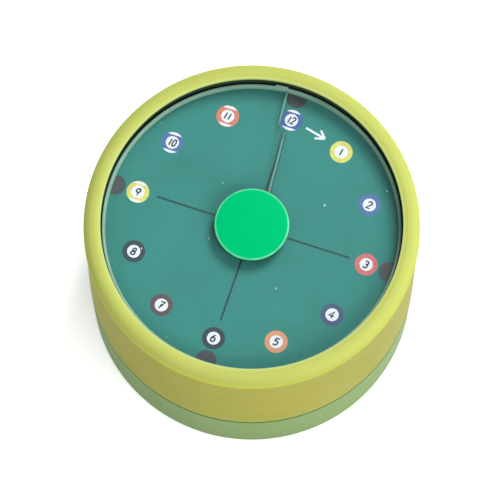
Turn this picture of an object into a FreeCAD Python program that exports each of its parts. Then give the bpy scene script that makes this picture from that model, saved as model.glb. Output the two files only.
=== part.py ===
import FreeCAD, Part
import math
import os
import re

import Sketcher

# Game spinner: a drum-shaped two-tone case with a recessed dial numbered 1 to 12 and a clear
# pointer disc that is spun by a low round knob. Inside, a steel spindle with a flywheel turns in
# two bronze bushes, and its lower end stands on a steel ball.
#
# Frame: millimetres, +Z up, origin on the table under the middle of the case. The 12 of the dial
# lies towards +Y, and numbers run clockwise seen from above.

SIZES = {
    # case
    "outer_radius": 45.0,           # bezel ring, the widest part
    "wall_radius": 44.75,           # side wall of the upper shell and top of the base
    "foot_edge_radius": 44.35,      # bottom edge of the base, a slight draft
    "wall_inner_radius": 42.3,
    "opening_radius": 40.4,         # round opening over the dial
    "crown_level": 62.8,            # highest point of the bezel
    "lip_level": 62.5,              # edge of the opening
    "lip_thickness": 0.7,
    "lip_round": 0.2,
    "shoulder_radius": 3.0,
    "crown_flat": 0.3,              # level top of the bezel before the shoulder turns down
    "bezel_level": 58.7,            # where the bezel ring meets the side wall
    "seam_level": 21.4,             # where the upper shell meets the base
    "base_level": 0.8,              # underside of the base
    "floor_level": 3.2,             # inside of the base floor
    "base_edge_round": 0.8,
    "seam_chamfer": 0.3,
    "tongue_radius": 43.5,          # the base's tongue stands inside the upper shell
    "tongue_height": 3.0,
    "slip": 0.1,                    # gap between fixed pieces that push together
    "shelf_level": 54.8,            # ledge that carries the dial plate
    "shelf_thickness": 1.8,
    "shelf_slope": 2.5,
    "shelf_inner_radius": 38.5,
    # dial
    "plate_thickness": 2.0,
    "card_thickness": 0.4,
    "dial_radius": 42.0,
    "dial_hole_radius": 8.0,
    "liner_radius": 40.7,           # inner face of the black liner under the lip
    "liner_thickness": 0.7,
    # pointer disc
    "disc_level": 57.5,             # underside of the clear disc
    "disc_thickness": 0.8,
    "disc_radius": 40.1,
    "rim_width": 0.55,
    "rim_height": 0.9,              # raised rim over the face of the disc
    "rim_slope": 0.35,
    "rim_round": 0.2,
    "tab_width": 3.4,
    "tab_height": 0.8,              # tab over the rim
    "tab_overhang": 0.2,
    "tab_round": 0.25,
    "bar_width": 2.1,               # raised bar between knob and rim, clockwise of the index line
    "bar_height": 0.35,
    "pointer_angle": 4.2,           # index line, degrees from the 12 towards the 11
    # knob and the hub under it
    "knob_radius": 10.1,
    "knob_thickness": 2.7,
    "knob_chamfer": 0.35,
    "hub_flange_radius": 7.0,
    "hub_flange_level": 55.3,
    "hub_sleeve_radius": 4.5,
    "hub_sleeve_level": 52.4,
    "spigot_radius": 4.0,
    "spigot_height": 2.3,           # over the underside of the clear disc
    "knob_screw_radius": 0.95,
    "knob_screw_length": 9.4,
    "knob_screw_head_radius": 2.0,
    "knob_screw_head_depth": 1.05,
    # spindle and its supports
    "spindle_radius": 2.0,
    "spindle_top": 57.4,
    "spindle_bottom": 10.65,
    "spindle_chamfer": 0.4,
    "flat_distance": 1.5,           # from the axis to the flat that drives the hub
    "groove_radius": 1.6,
    "groove_level": 11.6,
    "groove_width": 0.5,
    "running_gap": 0.05,
    "fit_gap": 0.02,
    "tapped_radius": 1.0,           # threaded bore in the top of the spindle
    "tapped_depth": 8.0,
    "clip_radius": 3.6,
    "clip_slot": 2.6,
    "washer_level": 12.2,
    "washer_thickness": 0.7,
    "washer_radius": 4.5,
    "ball_radius": 1.5,
    "cup_level": 5.2,
    "cup_top": 9.0,
    "bush_radius": 5.0,
    "bush_length": 6.0,
    "bush_flange_radius": 6.5,
    "bush_flange_thickness": 1.0,
    "lower_bush_level": 13.0,
    # bearing tower
    "tower_level": 7.2,             # underside of the tower's flange
    "tower_flange_radius": 19.0,
    "tower_flange_thickness": 2.5,
    "tower_radius": 7.5,
    "tower_top": 41.0,
    "tower_bore_radius": 3.0,
    "rib_thickness": 2.0,
    "rib_reach": 14.0,
    "rib_top": 30.0,
    "tower_screw_ring": 15.0,
    "tower_hole_radius": 1.5,
    "tower_boss_radius": 3.0,
    "tower_pilot_radius": 1.25,
    "tower_pilot_level": 2.4,
    "tower_screw_radius": 1.2,
    "tower_screw_length": 6.6,
    "tower_screw_head_radius": 2.2,
    "tower_screw_head_height": 1.6,
    "centre_boss_radius": 6.5,
    # flywheel
    "flywheel_radius": 30.0,
    "flywheel_level": 43.0,
    "flywheel_thickness": 5.0,
    "flywheel_chamfer": 0.5,
    "flywheel_hub_radius": 9.0,
    "flywheel_hub_level": 42.3,
    "flywheel_hub_top": 52.0,
    "web_inner_radius": 12.0,
    "web_outer_radius": 23.0,
    "web_depth": 1.5,
    "grub_radius": 1.25,
    "grub_level": 50.0,
    "grub_end_radius": 8.6,
    # driver slots
    "drive_slot": 0.5,
    "drive_cross_share": 0.55,      # reach of a cross recess, of the head's radius
    # case screws and feet
    "case_screw_ring": 38.4,
    "case_tube_radius": 4.4,
    "case_tube_top": 16.0,
    "case_hole_radius": 1.7,
    "pillar_radius": 3.6,
    "pillar_root_level": 25.0,
    "pillar_top": 40.0,
    "pillar_pilot_radius": 1.5,
    "pillar_pilot_top": 28.0,
    "head_recess_radius": 3.1,
    "head_seat_level": 10.0,
    "case_screw_radius": 1.45,
    "case_screw_length": 16.0,
    "case_screw_head_radius": 2.9,
    "case_screw_head_height": 2.0,
    "foot_ring": 35.0,
    "foot_radius": 5.0,
    "foot_height": 1.6,
    "foot_chamfer": 0.3,
}

CASE_SCREW_ANGLES = (90, 210, 330)
FOOT_ANGLES = (30, 150, 270)
TOWER_SCREW_ANGLES = (45, 135, 225, 315)
DISC_FACE = "disc_level + disc_thickness"
DIAL_LEVEL = "shelf_level + plate_thickness + card_thickness"
TOWER_FLANGE_TOP = "tower_level + tower_flange_thickness"
BEYOND = 5.0                        # how far cuts run past the material
NEAR = 1e-4                         # lengths and volumes closer than this count as equal

doc = FreeCAD.newDocument("GameSpinner")


def make_sheet():
    """Put every driving dimension in the sheet, one row each, under its own name."""
    sizes = doc.addObject("Spreadsheet::Sheet", "Sizes")
    for row, (name, size) in enumerate(SIZES.items(), start=1):
        sizes.set(f"A{row}", name)
        sizes.set(f"B{row}", str(size))
        sizes.setAlias(f"B{row}", name)
    doc.recompute()
    return sizes


sheet = make_sheet()


def bound(text):
    """The expression with every sheet name written in full, as setExpression wants it."""
    def full(word):
        return "Sizes." + word[0] if word[0] in SIZES else word[0]
    return re.sub(r"[a-z_]+", full, str(text))


def value(text):
    """What an expression over the sheet's names comes to."""
    return float(sheet.evalExpression(bound(text)))


def polar(ring, angle):
    """Expressions for a place on a ring, at an angle counter-clockwise from +X."""
    return f"({ring}) * cos({angle} deg)", f"({ring}) * sin({angle} deg)"


# ------------------------------------------------------------------ drawing and feature helpers

def new_body(name):
    """An empty body whose label is the node's name."""
    body = doc.addObject("PartDesign::Body", name)
    body.Label = name
    return body


def new_sketch(body, name, role, level="0"):
    """A sketch on one of the body's own origin planes, raised to a level."""
    sketch = body.newObject("Sketcher::SketchObject", name)
    plane = next(item for item in body.Origin.OriginFeatures if item.Role == role)
    sketch.AttachmentSupport = [(plane, "")]
    sketch.MapMode = "FlatFace"
    sketch.setExpression("AttachmentOffset.Base.z", bound(level))
    return sketch


def pin_point(sketch, geometry, point, across, up):
    """Hold a point of the sketch at two expressions, or on an axis where one of them is zero."""
    for kind, text, axis in (("DistanceX", across, -2), ("DistanceY", up, -1)):
        size = value(text)
        if abs(size) < NEAR:
            sketch.addConstraint(Sketcher.Constraint("PointOnObject", geometry, point, axis))
        else:
            index = sketch.addConstraint(Sketcher.Constraint(kind, -1, 1, geometry, point, size))
            sketch.setExpression(f"Constraints[{index}]", bound(text))


def outline(corners):
    """A drawing of one closed outline of straight lines through pairs of expressions."""
    def draw(sketch):
        points = [FreeCAD.Vector(value(across), value(up), 0) for across, up in corners]
        first = sketch.GeometryCount
        count = len(points)
        for i in range(count):
            sketch.addGeometry(Part.LineSegment(points[i], points[(i + 1) % count]))
        for i in range(count):
            after = first + (i + 1) % count
            sketch.addConstraint(Sketcher.Constraint("Coincident", first + i, 2, after, 1))
        for i, (across, up) in enumerate(corners):
            pin_point(sketch, first + i, 1, across, up)
    return draw


def circles(places, radius):
    """A drawing of equal circles at pairs of expressions."""
    def draw(sketch):
        for across, up in places:
            centre = FreeCAD.Vector(value(across), value(up), 0)
            shape = Part.Circle(centre, FreeCAD.Vector(0, 0, 1), value(radius))
            circle = sketch.addGeometry(shape)
            index = sketch.addConstraint(Sketcher.Constraint("Radius", circle, value(radius)))
            sketch.setExpression(f"Constraints[{index}]", bound(radius))
            pin_point(sketch, circle, 3, across, up)
    return draw


CENTRE = [("0", "0")]


def check_change(body, feature, before, cut):
    """Stop if a feature failed, or did not add or remove what it should."""
    doc.recompute()
    change = feature.Shape.Volume - before
    if (change < 0) != cut or abs(change) < NEAR:
        raise RuntimeError(f"{body.Label}: {feature.Name} changed the volume by {change:.4f}")


def volume_so_far(body):
    """Volume of what the body's features have made by now."""
    return body.Tip.Shape.Volume if body.Tip else 0.0


def turn(body, name, corners, cut=False):
    """Turn an outline of (radius, height) corners round the Z axis, to add or to cut."""
    before = volume_so_far(body)
    sketch = new_sketch(body, f"{body.Label}_{name}_outline", "XZ_Plane")
    outline(corners)(sketch)
    kind = "PartDesign::Groove" if cut else "PartDesign::Revolution"
    feature = body.newObject(kind, f"{body.Label}_{name}")
    feature.Profile = sketch
    feature.ReferenceAxis = (sketch, ["V_Axis"])
    feature.Angle = 360
    check_change(body, feature, before, cut)
    return feature


def extrude(body, name, level, top, draw, cut=False):
    """Pad or pocket a drawing from a level up to a top."""
    before = volume_so_far(body)
    sketch = new_sketch(body, f"{body.Label}_{name}_outline", "XY_Plane", level)
    draw(sketch)
    feature = body.newObject("PartDesign::Pocket" if cut else "PartDesign::Pad",
                             f"{body.Label}_{name}")
    feature.Profile = sketch
    feature.setExpression("Length", bound(f"({top}) - ({level})"))
    feature.Reversed = cut
    check_change(body, feature, before, cut)
    return feature


def ring_edges(feature, radius, level):
    """Names of the round edges about the Z axis with this radius at this height."""
    found = []
    for number, edge in enumerate(feature.Shape.Edges, start=1):
        curve = edge.Curve
        if not isinstance(curve, Part.Circle):
            continue
        off_size = abs(curve.Radius - value(radius)) + abs(curve.Center.z - value(level))
        if off_size + math.hypot(curve.Center.x, curve.Center.y) < NEAR:
            found.append(f"Edge{number}")
    if not found:
        raise RuntimeError(f"{feature.Name}: no round edge of radius {radius} at {level}")
    return found


def level_lines(feature, level):
    """Names of the straight edges that lie at this height."""
    found = []
    for number, edge in enumerate(feature.Shape.Edges, start=1):
        heights = (edge.BoundBox.ZMin, edge.BoundBox.ZMax)
        flat = all(abs(height - value(level)) < NEAR for height in heights)
        if flat and isinstance(edge.Curve, Part.Line):
            found.append(f"Edge{number}")
    return found


def soften(body, name, places, size, chamfer=False):
    """Round or chamfer the round edges at (radius, level) places."""
    base = body.Tip
    edges = [edge for radius, level in places for edge in ring_edges(base, radius, level)]
    return soften_edges(body, name, edges, size, chamfer)


def soften_edges(body, name, edges, size, chamfer=False):
    """Round or chamfer edges of the body's last feature, given by name."""
    before = volume_so_far(body)
    base = body.Tip
    feature = body.newObject("PartDesign::Chamfer" if chamfer else "PartDesign::Fillet",
                             f"{body.Label}_{name}")
    feature.Base = (base, edges)
    feature.setExpression("Size" if chamfer else "Radius", bound(size))
    doc.recompute()
    if not feature.Shape.isValid() or feature.Shape.Volume == before:
        raise RuntimeError(f"{body.Label}: {feature.Name} did nothing")
    return feature


def cylinder(name, radius, low, high, across, up):
    """Upright cylinder from low to high at a place."""
    rod = doc.addObject("Part::Cylinder", name)
    rod.setExpression("Radius", bound(radius))
    rod.setExpression("Height", bound(f"({high}) - ({low})"))
    rod.setExpression("Placement.Base.x", bound(across))
    rod.setExpression("Placement.Base.y", bound(up))
    rod.setExpression("Placement.Base.z", bound(low))
    return rod


def box(name, corner, sides):
    """Upright box from its lowest corner and its three sides."""
    block = doc.addObject("Part::Box", name)
    for side, text in zip(("Length", "Width", "Height"), sides):
        block.setExpression(side, bound(text))
    for axis, text in zip("xyz", corner):
        block.setExpression(f"Placement.Base.{axis}", bound(text))
    return block


def group(name, pieces):
    """One node of equal, separate solids."""
    whole = doc.addObject("Part::Compound", name)
    whole.Links = pieces
    whole.Label = name
    return whole


def slot_corners(reach):
    """Corners of a straight driver slot across a screw head."""
    return [
        (f"-({reach})", "-drive_slot / 2"),
        (reach, "-drive_slot / 2"),
        (reach, "drive_slot / 2"),
        (f"-({reach})", "drive_slot / 2"),
    ]


# ------------------------------------------------------------------ case

CASE_PLACES = [polar("case_screw_ring", angle) for angle in CASE_SCREW_ANGLES]
FOOT_PLACES = [polar("foot_ring", angle) for angle in FOOT_ANGLES]
TOWER_PLACES = [polar("tower_screw_ring", angle) for angle in TOWER_SCREW_ANGLES]


def make_base_cup():
    """Pale green cup: floor, drafted wall, tongue, screw tubes, tower bosses, foot recesses."""
    body = new_body("base_cup")
    turn(body, "cup", [
        ("0", "base_level"),
        ("foot_edge_radius", "base_level"),
        ("wall_radius", "seam_level"),
        ("tongue_radius", "seam_level"),
        ("tongue_radius", "seam_level + tongue_height"),
        ("wall_inner_radius", "seam_level + tongue_height"),
        ("wall_inner_radius", "floor_level"),
        ("0", "floor_level"),
    ])
    soften(body, "bottom_round", [("foot_edge_radius", "base_level")], "base_edge_round")
    soften(body, "seam_bevel", [("wall_radius", "seam_level")], "seam_chamfer", chamfer=True)
    root = "floor_level - slip"
    extrude(body, "screw_tubes", root, "case_tube_top", circles(CASE_PLACES, "case_tube_radius"))
    extrude(body, "tower_bosses", root, "tower_level", circles(TOWER_PLACES, "tower_boss_radius"))
    extrude(body, "centre_boss", root, "cup_level", circles(CENTRE, "centre_boss_radius"))
    extrude(body, "head_recesses", "0", "head_seat_level",
            circles(CASE_PLACES, "head_recess_radius"), cut=True)
    extrude(body, "screw_holes", "0", f"case_tube_top + {BEYOND}",
            circles(CASE_PLACES, "case_hole_radius"), cut=True)
    extrude(body, "tower_pilots", "tower_pilot_level", f"tower_level + {BEYOND}",
            circles(TOWER_PLACES, "tower_pilot_radius"), cut=True)
    extrude(body, "foot_recesses", "0", "foot_height",
            circles(FOOT_PLACES, "foot_radius + slip"), cut=True)


def make_upper_shell():
    """Lime side wall with the ledge for the dial, and screw pillars that meet the base's tubes."""
    body = new_body("upper_shell")
    turn(body, "wall", [
        ("tongue_radius + slip", "seam_level"),
        ("wall_radius", "seam_level"),
        ("wall_radius", "bezel_level"),
        ("wall_inner_radius", "bezel_level"),
        ("wall_inner_radius", "shelf_level"),
        ("shelf_inner_radius", "shelf_level"),
        ("shelf_inner_radius", "shelf_level - shelf_thickness"),
        ("wall_inner_radius", "shelf_level - shelf_thickness - shelf_slope"),
        ("wall_inner_radius", "seam_level + tongue_height + slip"),
        ("tongue_radius + slip", "seam_level + tongue_height + slip"),
    ])
    soften(body, "seam_bevel", [("wall_radius", "seam_level")], "seam_chamfer", chamfer=True)
    extrude(body, "pillar_roots", "pillar_root_level", "pillar_top",
            circles(CASE_PLACES, "case_tube_radius"))
    extrude(body, "pillars", "case_tube_top + slip", "pillar_top - slip",
            circles(CASE_PLACES, "pillar_radius"))
    extrude(body, "pilots", "0", "pillar_pilot_top", circles(CASE_PLACES, "pillar_pilot_radius"),
            cut=True)


def make_bezel_ring():
    """Lime bead round the opening, with a lip over the liner and a skirt that holds the dial."""
    body = new_body("bezel_ring")
    skirt_inner = "liner_radius + liner_thickness + slip"
    turn(body, "bead", [
        ("opening_radius", "lip_level - lip_thickness"),
        ("opening_radius", "lip_level"),
        ("outer_radius - shoulder_radius - crown_flat", "crown_level"),
        ("outer_radius", "crown_level"),
        ("outer_radius", "bezel_level"),
        ("wall_inner_radius - slip", "bezel_level"),
        ("wall_inner_radius - slip", DIAL_LEVEL),
        (skirt_inner, DIAL_LEVEL),
        (skirt_inner, "lip_level - lip_thickness"),
    ])
    soften(body, "shoulder", [("outer_radius", "crown_level")], "shoulder_radius")
    soften(body, "lip_edge", [("opening_radius", "lip_level")], "lip_round")
    soften(body, "lower_edge", [("outer_radius", "bezel_level")], "seam_chamfer", chamfer=True)


def make_rim_liner():
    """Black ring that lines the recess between the lip and the dial."""
    body = new_body("rim_liner")
    turn(body, "ring", [
        ("liner_radius", DIAL_LEVEL),
        ("liner_radius + liner_thickness", DIAL_LEVEL),
        ("liner_radius + liner_thickness", "lip_level - lip_thickness - fit_gap"),
        ("liner_radius", "lip_level - lip_thickness - fit_gap"),
    ])


def make_rubber_feet():
    """Three round rubber pads in the recesses under the base."""
    pads = []
    for number, (across, up) in enumerate(FOOT_PLACES, start=1):
        pad = cylinder(f"foot_{number}", "foot_radius", "0", "foot_height", across, up)
        chamfer = doc.addObject("Part::Chamfer", f"foot_{number}_edge")
        chamfer.Base = pad
        doc.recompute()
        size = value("foot_chamfer")
        lowest = pad.Shape.BoundBox.ZMin
        rim = [i for i, edge in enumerate(pad.Shape.Edges, start=1)
               if edge.Closed and abs(edge.BoundBox.ZMax - lowest) < NEAR]
        chamfer.Edges = [(i, size, size) for i in rim]
        pads.append(chamfer)
    group("rubber_feet", pads)


# ------------------------------------------------------------------ dial

def make_dial_plate():
    """Stiff black disc that lies on the shell's ledge and carries the card."""
    body = new_body("dial_plate")
    turn(body, "plate", [
        ("dial_hole_radius", "shelf_level"),
        ("dial_radius", "shelf_level"),
        ("dial_radius", "shelf_level + plate_thickness"),
        ("dial_hole_radius", "shelf_level + plate_thickness"),
    ])


def make_dial_card():
    """Printed card on the dial plate, with room in the middle for the knob's hub."""
    body = new_body("dial_card")
    turn(body, "card", [
        ("dial_hole_radius", "shelf_level + plate_thickness"),
        ("dial_radius", "shelf_level + plate_thickness"),
        ("dial_radius", DIAL_LEVEL),
        ("dial_hole_radius", DIAL_LEVEL),
    ])


# ------------------------------------------------------------------ pointer disc and knob

def along_pointer(outward, sideways):
    """Expressions for a place given outward along the index line and sideways to its left."""
    turned = "((90 + pointer_angle) * 1 deg)"
    across = f"({outward}) * cos{turned} - ({sideways}) * sin{turned}"
    up = f"({outward}) * sin{turned} + ({sideways}) * cos{turned}"
    return across, up


def pointer_block(near, far, right, left):
    """A drawing of a rectangle along the index line, between two distances to its left."""
    return outline([
        along_pointer(near, right),
        along_pointer(far, right),
        along_pointer(far, left),
        along_pointer(near, left),
    ])


def make_pointer_disc():
    """Clear disc with a raised rim, and a bar and a finger tab on either side of its index line."""
    body = new_body("pointer_disc")
    bore = "spigot_radius + fit_gap"
    rim_top = f"{DISC_FACE} + rim_height"
    turn(body, "disc", [
        (bore, "disc_level"),
        ("disc_radius", "disc_level"),
        ("disc_radius", rim_top),
        ("disc_radius - rim_width", rim_top),
        ("disc_radius - rim_width - rim_slope", DISC_FACE),
        (bore, DISC_FACE),
    ])
    soften(body, "rim_edge", [("disc_radius", rim_top)], "rim_round")
    rim_inner = "disc_radius - rim_width"
    extrude(body, "bar", f"{DISC_FACE} - fit_gap", f"{DISC_FACE} + bar_height",
            pointer_block("knob_radius + slip", rim_inner, "-bar_width", "0"))
    tab_top = f"{rim_top} + tab_height"
    extrude(body, "tab", f"{DISC_FACE} + bar_height", tab_top,
            pointer_block(f"{rim_inner} + slip", "disc_radius + tab_overhang", "0", "tab_width"))
    soften_edges(body, "tab_edges", level_lines(body.Tip, tab_top), "tab_round")


def make_knob_cap():
    """Low round knob that presses onto the hub's spigot and hides the screw."""
    body = new_body("knob_cap")
    top = f"{DISC_FACE} + knob_thickness"
    turn(body, "cap", [
        ("0", DISC_FACE),
        ("knob_radius", DISC_FACE),
        ("knob_radius", top),
        ("0", top),
    ])
    soften(body, "top_edge", [("knob_radius", top)], "knob_chamfer", chamfer=True)
    extrude(body, "socket", f"{DISC_FACE} - {BEYOND}", "disc_level + spigot_height + slip",
            circles(CENTRE, "spigot_radius + fit_gap"), cut=True)


def make_knob_hub():
    """Hub that drives the disc: sleeve over the spindle, flange under the disc, spigot above."""
    body = new_body("knob_hub")
    top = "disc_level + spigot_height"
    countersink = "knob_screw_head_radius + fit_gap"
    turn(body, "hub", [
        ("0", "hub_sleeve_level"),
        ("hub_sleeve_radius", "hub_sleeve_level"),
        ("hub_sleeve_radius", "hub_flange_level"),
        ("hub_flange_radius", "hub_flange_level"),
        ("hub_flange_radius", "disc_level"),
        ("spigot_radius", "disc_level"),
        ("spigot_radius", top),
        ("0", top),
    ])
    extrude(body, "bore", "hub_sleeve_level - slip", "spindle_top + fit_gap",
            circles(CENTRE, "spindle_radius + fit_gap"), cut=True)
    extrude(body, "screw_hole", "hub_sleeve_level - slip", f"{top} + {BEYOND}",
            circles(CENTRE, "knob_screw_radius + slip"), cut=True)
    turn(body, "countersink", [
        ("0", f"{top} - knob_screw_head_depth - slip"),
        ("knob_screw_radius + slip", f"{top} - knob_screw_head_depth - slip"),
        (countersink, f"{top} - slip"),
        (countersink, f"{top} + slip"),
        ("0", f"{top} + slip"),
    ], cut=True)
    inside_sleeve = "(spindle_radius + hub_sleeve_radius) / 2"
    extrude(body, "drive_flat", "hub_sleeve_level", "spindle_top",
            outline([
                ("flat_distance + fit_gap", "-spindle_radius"),
                (inside_sleeve, "-spindle_radius"),
                (inside_sleeve, "spindle_radius"),
                ("flat_distance + fit_gap", "spindle_radius"),
            ]))


def make_knob_screw():
    """Countersunk screw down through the hub into the top of the spindle, with a slot."""
    body = new_body("knob_screw")
    top = "disc_level + spigot_height - slip"
    neck = f"{top} - knob_screw_head_depth"
    turn(body, "screw", [
        ("0", f"{top} - knob_screw_length"),
        ("knob_screw_radius", f"{top} - knob_screw_length"),
        ("knob_screw_radius", neck),
        ("knob_screw_head_radius", top),
        ("0", top),
    ])
    extrude(body, "slot", f"{top} - drive_slot", f"{top} + {BEYOND}",
            outline(slot_corners("knob_screw_head_radius")), cut=True)


# ------------------------------------------------------------------ spindle and its supports

def make_spindle():
    """Steel spindle: drive flat and tapped bore at the top, clip groove near the bottom."""
    body = new_body("spindle")
    turn(body, "rod", [
        ("0", "spindle_bottom"),
        ("spindle_radius", "spindle_bottom"),
        ("spindle_radius", "spindle_top"),
        ("0", "spindle_top"),
    ])
    soften(body, "ends", [("spindle_radius", "spindle_bottom")], "spindle_chamfer", chamfer=True)
    turn(body, "groove", [
        ("groove_radius", "groove_level"),
        ("spindle_radius + slip", "groove_level"),
        ("spindle_radius + slip", "groove_level + groove_width"),
        ("groove_radius", "groove_level + groove_width"),
    ], cut=True)
    extrude(body, "tapped_bore", "spindle_top - tapped_depth", f"spindle_top + {BEYOND}",
            circles(CENTRE, "tapped_radius"), cut=True)
    extrude(body, "flat", "hub_sleeve_level", f"spindle_top + {BEYOND}",
            outline([
                ("flat_distance", "-spindle_radius"),
                ("spindle_radius + slip", "-spindle_radius"),
                ("spindle_radius + slip", "spindle_radius"),
                ("flat_distance", "spindle_radius"),
            ]), cut=True)


def make_retaining_clip():
    """Open spring clip in the spindle's groove: it keeps the rotor from lifting out."""
    body = new_body("retaining_clip")
    low = "groove_level + running_gap"
    high = "groove_level + groove_width - running_gap"
    turn(body, "ring", [
        ("groove_radius + running_gap", low),
        ("clip_radius", low),
        ("clip_radius", high),
        ("groove_radius + running_gap", high),
    ])
    extrude(body, "mouth", f"groove_level - {BEYOND}", f"groove_level + {BEYOND}",
            outline([
                ("0", "-clip_slot / 2"),
                ("clip_radius + slip", "-clip_slot / 2"),
                ("clip_radius + slip", "clip_slot / 2"),
                ("0", "clip_slot / 2"),
            ]), cut=True)


def make_thrust_washer():
    """Nylon washer between the clip and the lower bush."""
    body = new_body("thrust_washer")
    turn(body, "washer", [
        ("spindle_radius + slip", "washer_level"),
        ("washer_radius", "washer_level"),
        ("washer_radius", "washer_level + washer_thickness"),
        ("spindle_radius + slip", "washer_level + washer_thickness"),
    ])


def make_thrust_ball():
    """Steel ball that the spindle's end stands on."""
    ball = doc.addObject("Part::Sphere", "thrust_ball")
    ball.Label = "thrust_ball"
    ball.setExpression("Radius", bound("ball_radius"))
    ball.setExpression("Placement.Base.z", bound("spindle_bottom - running_gap - ball_radius"))


def make_thrust_cup():
    """Hard cup on the base's centre boss, with a round seat for the ball."""
    plug = cylinder("thrust_plug", "bush_radius - fit_gap", "cup_level", "cup_top", "0", "0")
    seat = doc.addObject("Part::Sphere", "ball_seat")
    seat.setExpression("Radius", bound("ball_radius + fit_gap"))
    seat.setExpression("Placement.Base.z", bound("spindle_bottom - running_gap - ball_radius"))
    cup = doc.addObject("Part::Cut", "thrust_cup")
    cup.Base = plug
    cup.Tool = seat
    cup.Label = "thrust_cup"


def make_bushes():
    """Two bronze bushes; the upper one has a flange that sits on the tower."""
    inner = "spindle_radius + running_gap"
    outer = "bush_radius - fit_gap"
    lower = new_body("lower_bushing")
    turn(lower, "bush", [
        (inner, "lower_bush_level"),
        (outer, "lower_bush_level"),
        (outer, "lower_bush_level + bush_length - fit_gap"),
        (inner, "lower_bush_level + bush_length - fit_gap"),
    ])
    upper = new_body("upper_bushing")
    turn(upper, "bush", [
        (inner, "tower_top - bush_length + fit_gap"),
        (outer, "tower_top - bush_length + fit_gap"),
        (outer, "tower_top"),
        ("bush_flange_radius", "tower_top"),
        ("bush_flange_radius", "tower_top + bush_flange_thickness"),
        (inner, "tower_top + bush_flange_thickness"),
    ])


def make_bearing_tower():
    """Column with a foot flange and four ribs, bored for the spindle and for both bushes."""
    body = new_body("bearing_tower")
    turn(body, "column", [
        ("0", "tower_level"),
        ("tower_flange_radius", "tower_level"),
        ("tower_flange_radius", TOWER_FLANGE_TOP),
        ("tower_radius", TOWER_FLANGE_TOP),
        ("tower_radius", "tower_top"),
        ("0", "tower_top"),
    ])
    half = "rib_thickness / 2"
    reach = "rib_reach"
    quarter = [(reach, f"-{half}"), (reach, half), (half, half)]
    corners = []
    for _ in range(4):
        corners += quarter
        quarter = [(f"-({up})", across) for across, up in quarter]
    extrude(body, "ribs", f"{TOWER_FLANGE_TOP} - slip", "rib_top", outline(corners))
    turn(body, "rib_slopes", [
        ("tower_radius", "rib_top + slip"),
        ("rib_reach", TOWER_FLANGE_TOP),
        (f"rib_reach + {BEYOND}", TOWER_FLANGE_TOP),
        (f"rib_reach + {BEYOND}", "rib_top + slip"),
    ], cut=True)
    extrude(body, "spindle_bore", "0", f"tower_top + {BEYOND}",
            circles(CENTRE, "tower_bore_radius"), cut=True)
    extrude(body, "lower_seat", "0", "lower_bush_level + bush_length",
            circles(CENTRE, "bush_radius"), cut=True)
    extrude(body, "upper_seat", "tower_top - bush_length", f"tower_top + {BEYOND}",
            circles(CENTRE, "bush_radius"), cut=True)
    extrude(body, "screw_holes", "0", f"{TOWER_FLANGE_TOP} + slip",
            circles(TOWER_PLACES, "tower_hole_radius"), cut=True)


def make_flywheel():
    """Steel flywheel: heavy rim, thinner web, and a hub that the grub screw holds."""
    body = new_body("flywheel")
    bore = "spindle_radius + fit_gap"
    top = "flywheel_level + flywheel_thickness"
    turn(body, "wheel", [
        (bore, "flywheel_hub_level"),
        ("flywheel_hub_radius", "flywheel_hub_level"),
        ("flywheel_hub_radius", "flywheel_level"),
        ("flywheel_radius", "flywheel_level"),
        ("flywheel_radius", top),
        ("web_outer_radius", top),
        ("web_outer_radius", f"{top} - web_depth"),
        ("web_inner_radius", f"{top} - web_depth"),
        ("flywheel_hub_radius", top),
        ("flywheel_hub_radius", "flywheel_hub_top"),
        (bore, "flywheel_hub_top"),
    ])
    rim = [("flywheel_radius", "flywheel_level"), ("flywheel_radius", top)]
    soften(body, "rim_edges", rim, "flywheel_chamfer", chamfer=True)
    before = volume_so_far(body)
    sketch = new_sketch(body, "flywheel_grub_outline", "YZ_Plane")
    circles([("0", "grub_level")], "grub_radius + running_gap")(sketch)
    hole = body.newObject("PartDesign::Pocket", "flywheel_grub_hole")
    hole.Profile = sketch
    hole.setExpression("Length", bound(f"flywheel_hub_radius + {BEYOND}"))
    hole.Reversed = True
    check_change(body, hole, before, True)


def make_grub_screw():
    """Grub screw along +X through the flywheel's hub, tight against the spindle."""
    rod = doc.addObject("Part::Cylinder", "grub_rod")
    rod.setExpression("Radius", bound("grub_radius"))
    rod.setExpression("Height", bound("grub_end_radius - spindle_radius - running_gap"))
    rod.Placement.Rotation = FreeCAD.Rotation(FreeCAD.Vector(0, 1, 0), 90)
    rod.setExpression("Placement.Base.x", bound("spindle_radius + running_gap"))
    rod.setExpression("Placement.Base.z", bound("grub_level"))
    slot = box("grub_slot", ("grub_end_radius - drive_slot", "-grub_radius",
                             "grub_level - drive_slot / 2"),
               ("drive_slot * 2", "grub_radius * 2", "drive_slot"))
    screw = doc.addObject("Part::Cut", "flywheel_grub_screw")
    screw.Base = rod
    screw.Tool = slot
    screw.Label = "flywheel_grub_screw"


# ------------------------------------------------------------------ fasteners

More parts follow.
